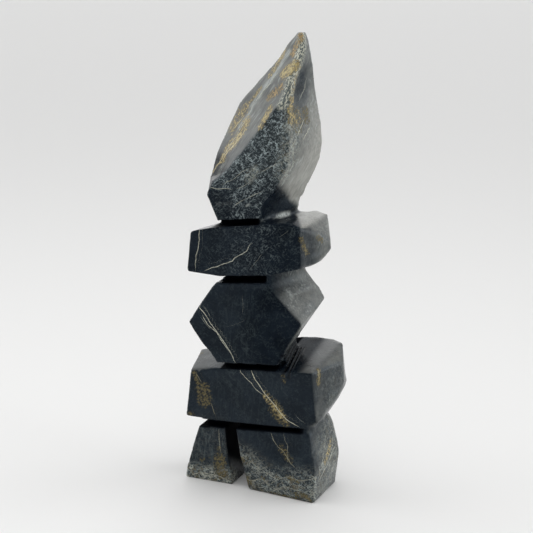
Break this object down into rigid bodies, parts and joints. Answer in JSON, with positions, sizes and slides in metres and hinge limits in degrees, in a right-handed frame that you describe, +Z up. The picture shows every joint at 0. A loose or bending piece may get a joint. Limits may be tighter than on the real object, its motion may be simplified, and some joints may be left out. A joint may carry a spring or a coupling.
{
  "type": "stone cairn",
  "caption": "Small dark stone cairn in the form of a standing figure: ground legs, hips, body, arms and a leaning pointed head, marked off by saw kerfs in one solid block.",
  "frame": {"origin": "centre of the bounding box at the height of the feet, which stand on the floor", "axes": "+Z up, the longest extent; -Y towards the viewer who faces the front; +X towards the end of the figure to which the head leans"},
  "size_m": [0.1044, 0.0552, 0.3],
  "materials": {
    "dark_stone": "satin, polished on the side facets, with cream veins and ochre patches"
  },
  "bodies": {
    "root": {"carved_stone": "dark_stone"}
  },
  "joints": []
}
